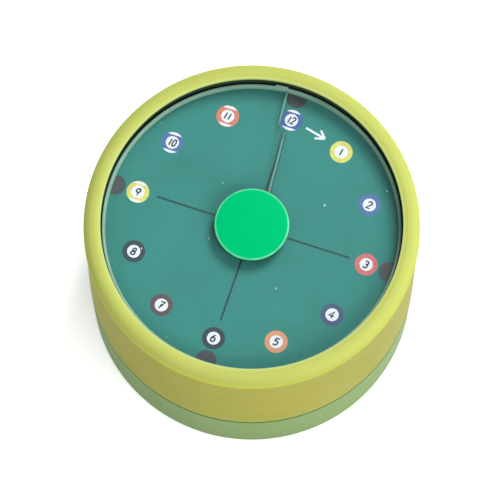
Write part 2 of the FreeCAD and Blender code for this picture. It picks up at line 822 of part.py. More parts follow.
def pan_screws(name, places, radius, length, head_radius, head_height, seat, upward):
    """Pan head screws at places, their heads on a seat, with shanks that run up or down."""
    screws = []
    for number, (across, up) in enumerate(places, start=1):
        if upward:
            head_low, head_high = f"({seat}) - ({head_height})", seat
            shank_low, shank_high = f"({seat}) - slip", f"({seat}) + ({length})"
            cross_low = f"{head_low} - drive_slot"
        else:
            head_low, head_high = seat, f"({seat}) + ({head_height})"
            shank_low, shank_high = f"({seat}) - ({length})", f"({seat}) + slip"
            cross_low = f"{head_high} - drive_slot"
        head = cylinder(f"{name}_head_{number}", head_radius, head_low, head_high, across, up)
        shank = cylinder(f"{name}_shank_{number}", radius, shank_low, shank_high, across, up)
        whole = doc.addObject("Part::Fuse", f"{name}_whole_{number}")
        whole.Base = head
        whole.Tool = shank
        arm = f"({head_radius}) * drive_cross_share"
        bars = []
        for turn_name, half_x, half_y in (("a", arm, "drive_slot / 2"), ("b", "drive_slot / 2", arm)):
            bars.append(box(f"{name}_cross_{turn_name}_{number}",
                            (f"{across} - {half_x}", f"{up} - {half_y}", cross_low),
                            (f"{half_x} * 2", f"{half_y} * 2", "drive_slot * 2")))
        cross = doc.addObject("Part::Fuse", f"{name}_cross_{number}")
        cross.Base = bars[0]
        cross.Tool = bars[1]
        screw = doc.addObject("Part::Cut", f"{name}_{number}")
        screw.Base = whole
        screw.Tool = cross
        screws.append(screw)
    return group(name, screws)


def make_fasteners():
    """Screws up through the base into the shell, and down through the tower into the base."""
    pan_screws("case_screws", CASE_PLACES, "case_screw_radius", "case_screw_length",
               "case_screw_head_radius", "case_screw_head_height", "head_seat_level", True)
    pan_screws("tower_screws", TOWER_PLACES, "tower_screw_radius", "tower_screw_length",
               "tower_screw_head_radius", "tower_screw_head_height", TOWER_FLANGE_TOP, False)


# ------------------------------------------------------------------ build, check and write

NODES = {
    "base_cup": 1,
    "upper_shell": 1,
    "bezel_ring": 1,
    "rim_liner": 1,
    "rubber_feet": len(FOOT_ANGLES),
    "case_screws": len(CASE_SCREW_ANGLES),
    "dial_plate": 1,
    "dial_card": 1,
    "bearing_tower": 1,
    "tower_screws": len(TOWER_SCREW_ANGLES),
    "lower_bushing": 1,
    "upper_bushing": 1,
    "thrust_cup": 1,
    "thrust_ball": 1,
    "thrust_washer": 1,
    "spindle": 1,
    "retaining_clip": 1,
    "flywheel": 1,
    "flywheel_grub_screw": 1,
    "knob_hub": 1,
    "knob_screw": 1,
    "pointer_disc": 1,
    "knob_cap": 1,
}


def build():
    """Make every piece, from the case inwards."""
    make_base_cup()
    make_upper_shell()
    make_bezel_ring()
    make_rim_liner()
    make_rubber_feet()
    make_dial_plate()
    make_dial_card()
    make_pointer_disc()
    make_knob_cap()
    make_knob_hub()
    make_knob_screw()
    make_spindle()
    make_retaining_clip()
    make_thrust_washer()
    make_thrust_ball()
    make_thrust_cup()
    make_bushes()
    make_bearing_tower()
    make_flywheel()
    make_grub_screw()
    make_fasteners()
    doc.recompute()


def check_document():
    """Stop if any object failed, or a node is not the valid solids that it should be."""
    for item in doc.Objects:
        if "Invalid" in item.State or "Error" in item.State:
            raise RuntimeError(f"{item.Name} failed: {item.State}")
    for name, solids in NODES.items():
        shape = doc.getObjectsByLabel(name)[0].Shape
        if shape.isNull() or not shape.isValid() or len(shape.Solids) != solids:
            raise RuntimeError(f"{name}: valid solids are not {solids}")


def write_parts():
    """Write one STEP file per node."""
    os.makedirs("parts", exist_ok=True)
    for name in NODES:
        shape = doc.getObjectsByLabel(name)[0].Shape
        shape.exportStep(f"parts/{name}.step")
        print(f"{name}: {len(shape.Solids)} solid(s), {shape.Volume:.1f} mm3")


build()
check_document()
write_parts()
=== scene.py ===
import math

import bmesh
import bpy
from mathutils import Matrix, Vector


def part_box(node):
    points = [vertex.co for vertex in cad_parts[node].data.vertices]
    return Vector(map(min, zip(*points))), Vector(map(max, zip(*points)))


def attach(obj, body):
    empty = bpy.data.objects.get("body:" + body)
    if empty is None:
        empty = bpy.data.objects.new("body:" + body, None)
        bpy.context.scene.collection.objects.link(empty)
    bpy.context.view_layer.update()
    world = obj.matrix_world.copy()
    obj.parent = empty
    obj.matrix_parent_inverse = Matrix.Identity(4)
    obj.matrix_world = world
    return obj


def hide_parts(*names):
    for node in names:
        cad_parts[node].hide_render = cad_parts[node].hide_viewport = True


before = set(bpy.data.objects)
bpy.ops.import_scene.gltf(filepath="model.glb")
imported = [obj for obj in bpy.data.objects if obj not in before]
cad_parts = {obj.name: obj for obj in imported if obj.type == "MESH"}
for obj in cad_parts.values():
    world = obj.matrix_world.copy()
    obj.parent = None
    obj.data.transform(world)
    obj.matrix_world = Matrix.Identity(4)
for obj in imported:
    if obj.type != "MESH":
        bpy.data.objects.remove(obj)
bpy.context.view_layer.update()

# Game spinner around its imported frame: metres, +Z up, the 12 of the dial towards +Y.
# Sizes written in millimetres are multiplied by MM.

MM = 0.001

scene = bpy.context.scene

# ------------------------------------------------------------------ places read from the frame

CARD_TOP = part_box("dial_card")[1].z
BEZEL_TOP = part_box("bezel_ring")[1].z
DISC_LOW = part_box("pointer_disc")[0].z
DISC_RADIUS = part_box("pointer_disc")[1].x
TAB_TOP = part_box("pointer_disc")[1].z
KNOB_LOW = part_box("knob_cap")[0].z
KNOB_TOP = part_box("knob_cap")[1].z
KNOB_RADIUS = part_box("knob_cap")[1].x

# ------------------------------------------------------------------ sizes that no node's box tells

OPENING_RADIUS = 40.4 * MM          # of the hole in the bezel
LIP_LEVEL = BEZEL_TOP - 0.3 * MM    # edge of the opening
SHOULDER_FOOT = BEZEL_TOP - 3 * MM  # lower end of the bezel's rounded shoulder
SEAM = 21.4 * MM                    # where the upper shell meets the base
SPIGOT_RADIUS = 4.0 * MM            # the knob hub's spigot, inside disc and knob
DISC_FACE = KNOB_LOW                # the knob stands on the disc
RIM_TOP = DISC_FACE + 0.9 * MM
RIM_INNER = DISC_RADIUS - 0.55 * MM
RIM_FOOT = RIM_INNER - 0.35 * MM    # where the rim's inner slope meets the disc's face
BAR_WIDTH = 2.1 * MM
BAR_TOP = DISC_FACE + 0.35 * MM
TAB_WIDTH = 3.4 * MM
TAB_REACH = DISC_RADIUS + 0.15 * MM
INDEX_ANGLE = 4.2                   # index line of the disc, degrees from the 12 towards the 11
EDGE_CHANGE = 28.5 * MM             # where the lit edge changes from one side of the bar to the other
SHARP_ANGLE = 35                    # an edge that turns by more degrees is shaded sharp


# ------------------------------------------------------------------ mesh helpers

def add_object(name, mesh, body, replaces=()):
    """Adds a visible piece that rides on a body, in place of the CAD nodes it replaces."""
    piece = bpy.data.objects.new(name, mesh)
    scene.collection.objects.link(piece)
    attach(piece, body)
    if replaces:
        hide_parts(*replaces)


def finish_mesh(bm, name, materials):
    """Mesh from a bmesh: outward normals, smooth shading, sharp edges past SHARP_ANGLE."""
    bmesh.ops.remove_doubles(bm, verts=bm.verts, dist=1e-7)
    bmesh.ops.recalc_face_normals(bm, faces=bm.faces)
    mesh = bpy.data.meshes.new(name)
    bm.to_mesh(mesh)
    bm.free()
    mesh.shade_smooth()
    mesh.set_sharp_from_angle(angle=math.radians(SHARP_ANGLE))
    for material in materials:
        mesh.materials.append(material)
    return mesh


def rounded(corners, steps=6):
    """Points of an outline of (radius, height, rounding) corners, each corner turned by an arc."""
    points = []
    count = len(corners)
    for i, (x, z, size) in enumerate(corners):
        here = Vector((x, z))
        if size == 0:
            points.append((x, z))
            continue
        before = (Vector(corners[i - 1][:2]) - here).normalized()
        after = (Vector(corners[(i + 1) % count][:2]) - here).normalized()
        half = before.angle(after) / 2
        middle = here + (before + after).normalized() * (size / math.sin(half))
        start = here + before * (size / math.tan(half)) - middle
        sweep = start.angle_signed(here + after * (size / math.tan(half)) - middle)
        for step in range(steps + 1):
            turned = Matrix.Rotation(-sweep * step / steps, 2) @ start
            points.append(tuple(middle + turned))
    return points


def ellipse_arc(centre, wide, high, start, end, steps):
    """Points on part of an ellipse, angles in degrees counter-clockwise from +X."""
    x, y = centre
    angles = (math.radians(start + (end - start) * i / steps) for i in range(steps + 1))
    return [(x + wide * math.cos(a), y + high * math.sin(a)) for a in angles]


def circle(radius, sides=48, centre=(0, 0)):
    """Corners of a circle drawn with straight sides, counter-clockwise."""
    return ellipse_arc(centre, radius, radius, 0, 360 * (sides - 1) / sides, sides - 1)


def lathe(bm, points, segments=192):
    """Surface of an outline of (radius, height) points turned round the Z axis."""
    rings = []
    for radius, height in points:
        if radius < 1e-7:
            rings.append([bm.verts.new((0, 0, height))])
            continue
        corners = circle(radius, segments)
        rings.append([bm.verts.new((x, y, height)) for x, y in corners])
    for k, ring in enumerate(rings):
        other = rings[(k + 1) % len(rings)]
        if len(ring) == 1 and len(other) == 1:
            continue
        for i in range(segments):
            near = [ring[i % len(ring)], ring[(i + 1) % segments % len(ring)]]
            far = [other[(i + 1) % segments % len(other)], other[i % len(other)]]
            bm.faces.new(list(dict.fromkeys(near + far)))


def prism(bm, corners, low, high, material=0):
    """Upright closed prism over a flat outline, counter-clockwise from above."""
    bottom = [bm.verts.new((x, y, low)) for x, y in corners]
    top = [bm.verts.new((x, y, high)) for x, y in corners]
    count = len(corners)
    faces = [bm.faces.new(top), bm.faces.new(bottom[::-1])]
    for i in range(count):
        j = (i + 1) % count
        faces.append(bm.faces.new((bottom[i], bottom[j], top[j], top[i])))
    for face in faces:
        face.material_index = material
    return top


def clock_place(radius, angle):
    """Place on the dial at a radius and an angle in degrees clockwise from the 12."""
    turned = math.radians(angle)
    return radius * math.sin(turned), radius * math.cos(turned)


# ------------------------------------------------------------------ material helpers

def linear(red, green, blue):
    """Linear colour from display values out of 255."""
    def channel(value):
        share = value / 255
        return share / 12.92 if share <= 0.04045 else ((share + 0.055) / 1.055) ** 2.4
    return channel(red), channel(green), channel(blue), 1.0


def shade(color, factor):
    """A colour made lighter or darker by a factor."""
    return tuple(min(1.0, channel * factor) for channel in color[:3]) + (1.0,)


class Nodes:
    """A material's node tree, with short calls for the nodes used here."""

    def __init__(self, name):
        self.material = bpy.data.materials.new(name)
        self.material.use_nodes = True
        self.tree = self.material.node_tree
        self.shader = self.tree.nodes["Principled BSDF"]
        self.output = self.tree.nodes["Material Output"]
        self.place = self.add("ShaderNodeTexCoord").outputs["Object"]

    def add(self, kind, **settings):
        node = self.tree.nodes.new(kind)
        for key, value in settings.items():
            setattr(node, key, value)
        return node

    def link(self, source, target):
        self.tree.links.new(source, target)

    def set(self, **values):
        for key, value in values.items():
            self.shader.inputs[key.replace("_", " ")].default_value = value

    def noise(self, scale, detail=4.0, roughness=0.55):
        node = self.add("ShaderNodeTexNoise")
        node.inputs["Scale"].default_value = scale
        node.inputs["Detail"].default_value = detail
        node.inputs["Roughness"].default_value = roughness
        self.link(self.place, node.inputs["Vector"])
        return node.outputs["Fac"]

    def remap(self, value, low, high, to_low, to_high):
        node = self.add("ShaderNodeMapRange")
        limits = {"From Min": low, "From Max": high, "To Min": to_low, "To Max": to_high}
        for key, number in limits.items():
            node.inputs[key].default_value = number
        self.link(value, node.inputs["Value"])
        return node.outputs["Result"]

    def math(self, operation, first, second=None):
        node = self.add("ShaderNodeMath", operation=operation)
        for socket, value in zip(node.inputs, (first, second)):
            if isinstance(value, (int, float)):
                socket.default_value = value
            elif value is not None:
                self.link(value, socket)
        return node.outputs["Value"]

    def mix(self, factor, first, second):
        node = self.add("ShaderNodeMix", data_type="RGBA")
        sockets = (node.inputs[0], node.inputs[6], node.inputs[7])   # factor and the two colours
        for socket, value in zip(sockets, (factor, first, second)):
            if isinstance(value, (tuple, float, int)):
                socket.default_value = value
            else:
                self.link(value, socket)
        return node.outputs[2]

    def axes(self):
        node = self.add("ShaderNodeSeparateXYZ")
        self.link(self.place, node.inputs["Vector"])
        return node.outputs["X"], node.outputs["Y"], node.outputs["Z"]

    def radius(self):
        x, y, _ = self.axes()
        square = self.math("ADD", self.math("MULTIPLY", x, x), self.math("MULTIPLY", y, y))
        return self.math("SQRT", square)

    def bump(self, height, strength, distance):
        node = self.add("ShaderNodeBump")
        node.inputs["Strength"].default_value = strength
        node.inputs["Distance"].default_value = distance
        self.link(height, node.inputs["Height"])
        self.link(node.outputs["Normal"], self.shader.inputs["Normal"])

    def flecks(self, scale, smallest, largest, cover, flat=False):
        """Share from 0 to cover in ragged scattered specks: one to a cell, sizes in cell widths."""
        cells = self.add("ShaderNodeTexVoronoi", voronoi_dimensions="2D" if flat else "3D")
        cells.inputs["Scale"].default_value = scale
        self.link(self.place, cells.inputs["Vector"])
        chance = self.add("ShaderNodeSeparateColor")
        self.link(cells.outputs["Color"], chance.inputs["Color"])
        reach = self.remap(chance.outputs["Red"], 0, 1, smallest, largest)
        ragged = self.remap(self.noise(2400), 0.3, 0.7, 0, 0.006)
        distance = self.math("ADD", cells.outputs["Distance"], ragged)
        return self.remap(self.math("SUBTRACT", distance, reach), 0, 0.005, cover, 0)

    def blend(self, first, second, share):
        """Mix of two shaders, the second by its share, sent to the material's surface."""
        node = self.add("ShaderNodeMixShader")
        self.link(share, node.inputs["Fac"])
        self.link(first.outputs[0], node.inputs[1])
        self.link(second.outputs[0], node.inputs[2])
        self.link(node.outputs["Shader"], self.output.inputs["Surface"])
        return node

    def color(self, socket):
        self.link(socket, self.shader.inputs["Base Color"])

    def rough(self, socket):
        self.link(socket, self.shader.inputs["Roughness"])


def moulded_plastic(name, color, roughness=0.48, grain=0.05, bands=()):
    """Moulded plastic: slow drift of colour, fine grain, rubbed patches and a few dark flecks.

    Each band (measure, start, end, tint) fades to its tint as height or radius runs from start to end.
    """
    m = Nodes(name)
    drift = m.noise(55, detail=3)
    speck = m.noise(900, detail=2)
    tone = m.mix(m.remap(drift, 0.3, 0.7, 0, 1), shade(color, 0.97), shade(color, 1.03))
    tone = m.mix(m.remap(speck, 0.45, 0.75, 0, 0.35), tone, shade(color, 0.952))
    for measure, start, end, tint in bands:
        value = m.radius() if measure == "radius" else m.axes()[2]
        tone = m.mix(m.remap(value, start, end, 0, 1), tone, tint)
    rubbed = m.noise(38, detail=7, roughness=0.75)
    tone = m.mix(m.remap(rubbed, 0.56, 0.78, 0, 0.3), tone, shade(color, 1.25))
    tone = m.mix(m.flecks(70, -0.03, 0.02, 0.6), tone, shade(color, 0.4))
    m.color(tone)
    m.rough(m.remap(m.noise(160, detail=4), 0.3, 0.7, roughness - 0.05, roughness + 0.07))
    m.bump(m.noise(2600, detail=2), grain, 0.00006)
    m.set(IOR=1.5, Specular_IOR_Level=0.02)
    return m.material


def turned_metal(name, color, roughness, rings=900, along_axis=True):
    """Turned or ground metal: fine rings about the spindle's axis and faint stains."""
    m = Nodes(name)
    radius = m.radius()
    _, _, z = m.axes()
    position = m.math("ADD", radius, z) if along_axis else radius
    wave = m.add("ShaderNodeTexNoise", noise_dimensions="1D")
    wave.inputs["Scale"].default_value = 1.0
    wave.inputs["Detail"].default_value = 3.0
    m.link(m.math("MULTIPLY", position, rings * 8.0), wave.inputs["W"])
    streak = wave.outputs["Fac"]
    stain = m.noise(120, detail=5)
    m.color(m.mix(m.remap(stain, 0.35, 0.7, 0, 1), shade(color, 1.05), shade(color, 0.85)))
    m.rough(m.remap(streak, 0.3, 0.7, roughness - 0.06, roughness + 0.08))
    m.bump(streak, 0.25, 0.00003)
    m.set(Metallic=1.0)
    return m.material


# ------------------------------------------------------------------ the materials

LIME = linear(184, 192, 98)
LIME_SKIRT_SHADE = linear(174, 180, 66)   # outer side of the bezel: painted shade, darker and more saturated than the top
LIME_LIP_HIGHLIGHT = linear(193, 206, 124)    # painted highlight, paler along the rounded edge of the opening
# side wall: the bezel's lime plastic made darker and less blue, painted shade on the upright wall
SHADED_WALL_LIME = linear(152, 149, 64)
WALL_FOOT = linear(148, 157, 73)    # lowest part of the wall, above the joint line
JOINT_LINE = linear(78, 98, 40)     # shaded line where wall and base meet
PALE_GREEN = linear(123, 148, 95)
DIAL_GREEN = linear(56, 133, 127)
KNOB_GREEN = linear(0, 182, 110)
# painted highlight along the knob's rounded top edge
KNOB_EDGE_HIGHLIGHT = linear(118, 214, 170)
# painted shade on the knob's side
KNOB_SIDE_SHADE = linear(0, 104, 66)

lime_plastic = moulded_plastic("lime_plastic", LIME, bands=[
    # painted shade down the bezel's rounded outer side
    ("height", SHOULDER_FOOT + 2.0 * MM, SHOULDER_FOOT + 0.2 * MM, LIME_SKIRT_SHADE),
    # painted highlight along the rounded edge of the opening
    ("radius", OPENING_RADIUS + 0.9 * MM, OPENING_RADIUS + 0.1 * MM, LIME_LIP_HIGHLIGHT),
])
wall_plastic = moulded_plastic("wall_plastic", SHADED_WALL_LIME, bands=[
    ("height", SEAM + 3.2 * MM, SEAM + 2.4 * MM, WALL_FOOT),
    ("height", SEAM + 1.5 * MM, SEAM + 1.1 * MM, JOINT_LINE),
])
pale_green_plastic = moulded_plastic("pale_green_plastic", PALE_GREEN)


def make_dial_print():
    """Green printed card: faint baize-like mottle and paper grain, with painted shade darkening it
    towards its edge.
    """
    m = Nodes("dial_print")
    blot = m.noise(70, detail=5, roughness=0.6)
    fibre = m.noise(1500, detail=3)
    tone = m.mix(m.remap(blot, 0.3, 0.7, 0, 1), shade(DIAL_GREEN, 0.93), shade(DIAL_GREEN, 1.08))
    tone = m.mix(m.remap(fibre, 0.4, 0.7, 0, 0.15), tone, shade(DIAL_GREEN, 0.8))
    # painted shade: the card darkens from 35 mm out to its edge, under the bezel and the disc's rim
    share = m.remap(m.radius(), 35 * MM, 39.5 * MM, 0, 1)
    m.color(m.mix(share, tone, shade(DIAL_GREEN, 0.86)))
    m.rough(m.remap(blot, 0.3, 0.7, 0.5, 0.62))
    m.bump(fibre, 0.05, 0.00003)
    m.set(Specular_IOR_Level=0.15)
    return m.material


def make_ink(name, color):
    """Printed ink with a slightly uneven cover."""
    m = Nodes(name)
    cover = m.noise(1200, detail=3)
    m.color(m.mix(m.remap(cover, 0.35, 0.7, 0, 1), shade(color, 1.06), shade(color, 0.88)))
    m.rough(m.remap(m.noise(500), 0.3, 0.7, 0.4, 0.53))
    m.bump(cover, 0.08, 0.00002)
    return m.material


def make_knob_plastic():
    """Bright green painted knob: satin top with fine spots, a patchy painted highlight along its
    rounded top edge and painted shade down its side.
    """
    m = Nodes("knob_plastic")
    blot = m.noise(260, detail=6, roughness=0.65)
    tone = m.mix(m.remap(blot, 0.35, 0.68, 0, 1), shade(KNOB_GREEN, 0.98), shade(KNOB_GREEN, 1.03))
    # painted highlight along the knob's top edge, broken up in patches
    patchy_highlight = m.remap(m.noise(420, detail=3), 0.35, 0.65, 0.55, 1)
    edge = m.remap(m.radius(), KNOB_RADIUS - 0.62 * MM, KNOB_RADIUS - 0.4 * MM, 0, 1)
    tone = m.mix(m.math("MULTIPLY", edge, patchy_highlight), tone, KNOB_EDGE_HIGHLIGHT)
    _, _, z = m.axes()
    # painted shade: the knob darkens from just below its top edge down its side
    m.color(m.mix(m.remap(z, KNOB_TOP - 0.25 * MM, KNOB_TOP - 0.4 * MM, 0, 1), tone, KNOB_SIDE_SHADE))
    m.rough(m.remap(m.noise(700, detail=4), 0.3, 0.7, 0.34, 0.46))
    m.bump(m.noise(2200, detail=3), 0.12, 0.00006)
    m.set(Specular_Tint=shade(KNOB_GREEN, 1.3), Specular_IOR_Level=0.4)
    return m.material


def make_clear_plastic():
    """Clear disc seen through: passes light straight, with gloss that grows at a shallow angle."""
    m = Nodes("clear_plastic")
    m.tree.nodes.remove(m.shader)
    clear = m.add("ShaderNodeBsdfTransparent")
    clear.inputs["Color"].default_value = (0.985, 0.998, 0.992, 1)
    gloss = m.add("ShaderNodeBsdfGlossy")
    gloss.inputs["Roughness"].default_value = 0.06
    gloss.inputs["Color"].default_value = (1, 1, 1, 1)
    slant = m.add("ShaderNodeLayerWeight")
    slant.inputs["Blend"].default_value = 0.5
    shallow = m.math("MULTIPLY", m.math("POWER", slant.outputs["Facing"], 5.0), 0.2)
    haze = m.remap(m.noise(90, detail=6, roughness=0.7), 0.45, 0.8, 0.015, 0.025)
    share = m.math("ADD", shallow, haze)
    dust = m.add("ShaderNodeBsdfDiffuse")
    dust.inputs["Color"].default_value = linear(190, 222, 214)
    m.blend(m.blend(clear, gloss, share), dust, m.flecks(52, 0.0, 0.018, 0.55, flat=True))
    return m.material


def make_frosted_rim():
    """Rim of the clear disc: milky green where the light gathers in the ground edge, with painted shade
    towards its foot.
    """
    m = Nodes("frosted_rim")
    grind = m.noise(1400, detail=3)
    cloud = m.noise(140, detail=3)
    pale = m.mix(m.remap(cloud, 0.3, 0.7, 0, 1), linear(130, 168, 148), linear(148, 184, 164))
    _, _, z = m.axes()
    # painted shade: darker and greener down the rim towards the disc's face
    m.color(m.mix(m.remap(z, RIM_TOP - 0.25 * MM, DISC_FACE, 0, 1), pale, linear(122, 172, 150)))
    m.rough(m.remap(grind, 0.3, 0.7, 0.4, 0.55))
    m.bump(grind, 0.05, 0.00003)
    m.set(Subsurface_Weight=0.3, Subsurface_Scale=0.002, Specular_IOR_Level=0.15)
    return m.material


def make_edge_line(name, color, most):
    """Edge of the bar, lit or in shade: a thin line that dies out half way along the bar."""
    m = Nodes(name)
    m.color(m.mix(m.noise(300), shade(color, 0.9), shade(color, 1.1)))
    m.rough(m.remap(m.noise(900), 0.3, 0.7, 0.4, 0.6))
    away = m.math("ABSOLUTE", m.math("SUBTRACT", m.radius(), EDGE_CHANGE))
    m.blend(m.add("ShaderNodeBsdfTransparent"), m.shader, m.remap(away, 0, 3.5 * MM, 0, most))
    return m.material


dial_print = make_dial_print()
knob_plastic = make_knob_plastic()
clear_plastic = make_clear_plastic()
frosted_rim = make_frosted_rim()
lit_edge = make_edge_line("lit_edge", linear(112, 166, 156), 0.7)
shaded_edge = make_edge_line("shaded_edge", linear(40, 84, 82), 0.4)

CAD_MATERIALS = {
    "upper_shell": wall_plastic,
    "bezel_ring": lime_plastic,
    "base_cup": pale_green_plastic,
    # black ring in the gap under the lip: partly the ring's own colour, partly painted shade of the
    # deep, narrow gap
    "rim_liner": moulded_plastic("black_liner", linear(52, 70, 56), roughness=0.6, grain=0.2),
    "rubber_feet": moulded_plastic("foot_rubber", linear(58, 60, 60), roughness=0.75, grain=0.4),
    "dial_card": dial_print,
    "dial_plate": moulded_plastic("black_plastic", linear(40, 42, 44), roughness=0.5),
    "case_screws": turned_metal("zinc_screw", (0.72, 0.72, 0.70, 1), 0.3, along_axis=False),
    "bearing_tower": moulded_plastic("nylon", linear(226, 224, 212), roughness=0.45),
    "lower_bushing": turned_metal("bronze", (0.60, 0.40, 0.19, 1), 0.4),
    "thrust_cup": turned_metal("hard_steel", (0.62, 0.62, 0.63, 1), 0.18),
    "spindle": turned_metal("bright_steel", (0.66, 0.67, 0.68, 1), 0.22),
    "retaining_clip": turned_metal("spring_steel", (0.22, 0.22, 0.25, 1), 0.35),
    "flywheel": turned_metal("flywheel_steel", (0.50, 0.51, 0.52, 1), 0.32, rings=700),
    "flywheel_grub_screw": turned_metal("black_steel", (0.07, 0.07, 0.08, 1), 0.4),
    "knob_hub": turned_metal("hub_brass", (0.76, 0.57, 0.24, 1), 0.25),
}
SAME_MATERIAL = {
    "tower_screws": "case_screws",
    "knob_screw": "case_screws",
    "upper_bushing": "lower_bushing",
    "thrust_ball": "thrust_cup",
    "thrust_washer": "bearing_tower",
}


def dress_cad_nodes():
    """Gives every node that keeps its CAD shape its material."""
    for name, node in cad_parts.items():
        material = CAD_MATERIALS.get(SAME_MATERIAL.get(name, name))
        if material:
            for place in node.material_slots:
                place.material = material


# ------------------------------------------------------------------ printed marks on the dial

PRINT_STEP = 0.02 * MM              # thickness of one layer of print
MARK_RING = 32.2 * MM
MARK_RADIUS = 3.07 * MM
NUMBER_DISC_RADIUS = 1.78 * MM
STRIPE_HALF = 2.2 * MM              # half height of a striped mark's colour band
STRIPE_MARGIN = 0.12 * MM           # colour left round a striped mark's white ends
QUARTERS = (0, 90, 180, 270)        # the 12, 3, 6 and 9, in degrees clockwise
LINE_START = 8.2 * MM
LINE_END = 27.2 * MM
LINE_WIDTH = 0.55 * MM
ARROW_STROKE = 0.6 * MM
ARROW_TAIL = (31.8 * MM, 9.0)       # radius, and degrees clockwise from the 12
ARROW_TIP = (31.9 * MM, 19.7)
ARROW_BARBS = ((33.2 * MM, 15.8), (30.4 * MM, 15.4))
POCKET_RING = 38.6 * MM
POCKET_RADIUS = 2.8 * MM

WHITE_INK = make_ink("white_ink", linear(228, 232, 242))
DARK_INK = make_ink("number_ink", linear(26, 30, 52))
LINE_INK = make_ink("line_ink", linear(8, 64, 68))
POCKET_INK = make_ink("pocket_ink", linear(62, 68, 76))

MARK_COLORS = {
    "yellow": linear(214, 208, 108),
    "blue": linear(72, 108, 164),
    "red": linear(202, 108, 110),
    "navy": linear(62, 80, 120),
    "orange": linear(214, 148, 110),
    "slate": linear(36, 58, 70),
    "maroon": linear(90, 74, 80),
    "black": linear(42, 62, 74),
    "violet": linear(58, 92, 156),
    "vermilion": linear(210, 120, 100),
}
MARK_INKS = {name: make_ink(f"{name}_ink", color) for name, color in MARK_COLORS.items()}
MARKS = ("yellow", "blue", "red", "navy", "orange", "slate", "maroon", "black",
         "yellow", "blue", "vermilion", "violet")
FIRST_STRIPED = 9
MARK_DRIFT = {12: 1.0}              # degrees by which a mark is printed off its place
LINE_DRIFT = (0.2 * MM, 0.35 * MM)  # how far the printed lines lie off the middle


def arc(x, y, wide, high, start, end):
    """Curved pen stroke, a point every 18 degrees or so."""
    return ellipse_arc((x, y), wide, high, start, end, max(4, round(abs(end - start) / 18)))


# Pen strokes of each digit, in heights of a digit, about its middle.
DIGITS = {
    "0": [arc(0, 0, 0.28, 0.5, 90, 450)],
    "1": [[(0, -0.48), (0, 0.48)]],
    "2": [arc(0, 0.22, 0.27, 0.28, 165, -35) + [(-0.28, -0.5), (0.3, -0.48)]],
    "3": [arc(-0.03, 0.25, 0.26, 0.25, 150, -75) + arc(-0.03, -0.22, 0.29, 0.28, 75, -150)],
    "4": [[(0.34, -0.16), (-0.34, -0.16), (0.1, 0.5), (0.1, -0.5)]],
    "5": [[(0.3, 0.5), (-0.18, 0.48), (-0.22, 0.08)] + arc(-0.02, -0.18, 0.3, 0.31, 115, -145)],
    "6": [arc(0.32, -0.14, 0.6, 0.66, 115, 180) + arc(0, -0.2, 0.28, 0.29, 180, 540)],
    "7": [[(-0.26, 0.48), (0.3, 0.48), (-0.12, -0.5)], [(-0.14, 0.02), (0.22, 0.02)]],
    "8": [arc(0, 0.25, 0.22, 0.24, -90, 270) + arc(0, -0.24, 0.28, 0.26, 90, -270)],
    "9": [arc(0, 0.2, 0.27, 0.28, 20, 380) + [(0.1, -0.5)]],
}
DIGIT_HEIGHT = 1.95 * MM
DIGIT_STEP = 1.1 * MM               # from one digit of a pair to the next
PEN_WIDTH = 0.4 * MM
SLANT = 0.22


def add_stroke(bm, points, width, low, high, material):
    """Ribbon of even width along a path, as a thin solid."""
    flat = [Vector(point) for point in points]
    sides = []
    for i, point in enumerate(flat):
        ahead = (flat[min(i + 1, len(flat) - 1)] - point).normalized()
        behind = (point - flat[max(i - 1, 0)]).normalized()
        along = (ahead + behind).normalized()
        reach = width / 2 / max(0.6, along.dot(ahead if i == 0 else behind))
        across = Vector((-along.y, along.x)) * reach
        edges = (point - across, point + across)
        sides.append([bm.verts.new((*edge, level)) for edge in edges for level in (low, high)])
    for (a, b, c, d), (e, f, g, h) in zip(sides, sides[1:]):
        for corners in ((b, f, h, d), (a, c, g, e), (a, e, f, b), (c, d, h, g)):
            bm.faces.new(corners).material_index = material
    for end in (sides[0], sides[-1]):
        bm.faces.new((end[0], end[1], end[3], end[2])).material_index = material


def add_number(bm, text, low, material):
    """A number drawn with a pen, upright along +Y and centred on the origin."""
    narrow = 1.0 if len(text) == 1 else 0.82
    for place, digit in enumerate(text):
        shift = (place - (len(text) - 1) / 2) * DIGIT_STEP
        for path in DIGITS[digit]:
            slanted = [(x * narrow + y * SLANT, y) for x, y in path]
            points = [(x * DIGIT_HEIGHT + shift, y * DIGIT_HEIGHT) for x, y in slanted]
            add_stroke(bm, points, PEN_WIDTH, low, low + PRINT_STEP, material)


def make_mark(number):
    """One ball mark: coloured disc, white ends where it is striped, white middle, number."""
    bm = bmesh.new()
    ink = MARK_INKS[MARKS[number - 1]]
    low = CARD_TOP
    middle = low + PRINT_STEP
    top = middle + PRINT_STEP
    prism(bm, circle(MARK_RADIUS), low, middle)
    if number >= FIRST_STRIPED:
        reach = MARK_RADIUS - STRIPE_MARGIN
        edge = math.degrees(math.asin(STRIPE_HALF / reach))
        for start in (edge, 180 + edge):
            corners = ellipse_arc((0, 0), reach, reach, start, start + 180 - 2 * edge, 16)
            prism(bm, corners, middle, top, material=1)
    prism(bm, circle(NUMBER_DISC_RADIUS, sides=36), middle, top, material=1)
    add_number(bm, str(number), top, material=2)
    x, y = clock_place(MARK_RING, 30 * number + MARK_DRIFT.get(number, 0))
    bmesh.ops.translate(bm, verts=bm.verts, vec=(x, y, 0))
    mesh = finish_mesh(bm, f"mark_{number:02d}", (ink, WHITE_INK, DARK_INK))
    add_object(f"mark_{number:02d}", mesh, "case")


def bar_between(start, end, width):
    """Corners of a straight bar between two flat places."""
    along = (Vector(end) - Vector(start)).normalized()
    side = Vector((-along.y, along.x)) * width / 2
    return [tuple(Vector(p) + s) for p, s in ((start, -side), (end, -side), (end, side), (start, side))]


